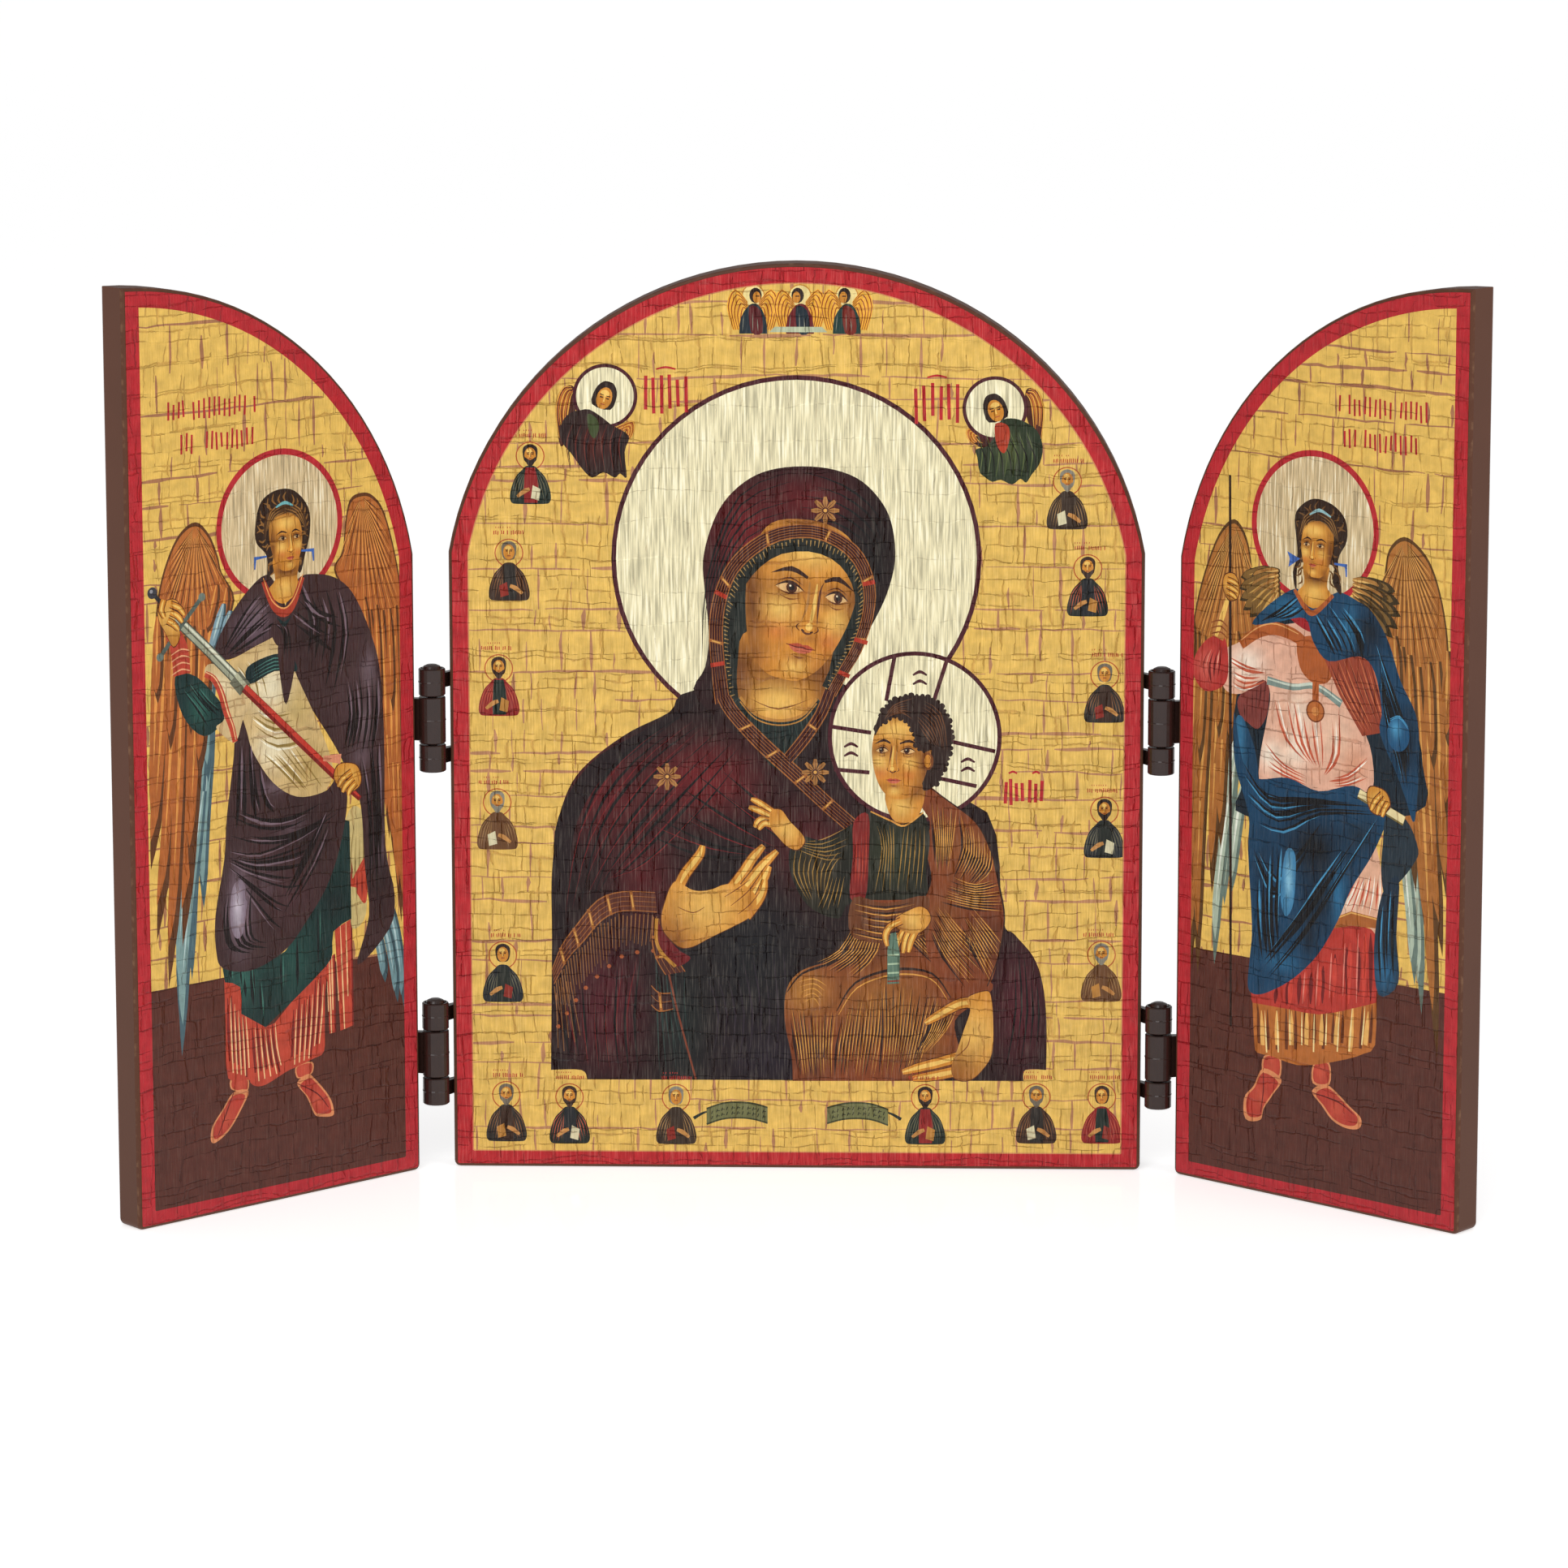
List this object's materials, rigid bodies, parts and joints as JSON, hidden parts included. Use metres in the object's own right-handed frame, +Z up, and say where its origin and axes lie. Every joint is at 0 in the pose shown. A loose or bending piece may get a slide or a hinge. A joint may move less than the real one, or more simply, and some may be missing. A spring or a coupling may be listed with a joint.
{
  "type": "triptych icon",
  "caption": "Folding wooden triptych icon: an arched centre board with a hinged half-arch leaf on each side, printed pictures on the fronts, standing open.",
  "frame": {"origin": "middle of the centre board's underside", "axes": "+X to the viewer's right along the centre board, -Y out of its painted face, +Z up"},
  "size_m": [0.3425, 0.073, 0.2385],
  "materials": {
    "painted_wood": "dark brown paint, satin, worn at the arrises",
    "hinge_plastic": "moulded, satin",
    "printed_picture": "varnished print, crackled",
    "gold_foil": "pale hot-stamped foil, ribbed"
  },
  "bodies": {
    "centre": {"centre_board": "painted_wood", "left_lower_hinge_frame_half": "hinge_plastic", "left_lower_hinge_pin": "hinge_plastic", "left_upper_hinge_frame_half": "hinge_plastic", "left_upper_hinge_pin": "hinge_plastic", "right_lower_hinge_frame_half": "hinge_plastic", "right_lower_hinge_pin": "hinge_plastic", "right_upper_hinge_frame_half": "hinge_plastic", "right_upper_hinge_pin": "hinge_plastic"},
    "left_leaf": {"left_leaf_board": "painted_wood", "left_lower_hinge_leaf_half": "hinge_plastic", "left_upper_hinge_leaf_half": "hinge_plastic"},
    "right_leaf": {"right_leaf_board": "painted_wood", "right_lower_hinge_leaf_half": "hinge_plastic", "right_upper_hinge_leaf_half": "hinge_plastic"}
  },
  "joints": [
    {"name": "left_fold", "type": "hinge", "parent": "centre", "child": "left_leaf", "pos_m": [-0.0945, -0.0057, 0], "axis": [0, 0, 1], "range_deg": [-83, 137]},
    {"name": "right_fold", "type": "hinge", "parent": "centre", "child": "right_leaf", "pos_m": [0.0945, -0.0057, 0], "axis": [0, 0, -1], "range_deg": [-80, 140]}
  ]
}
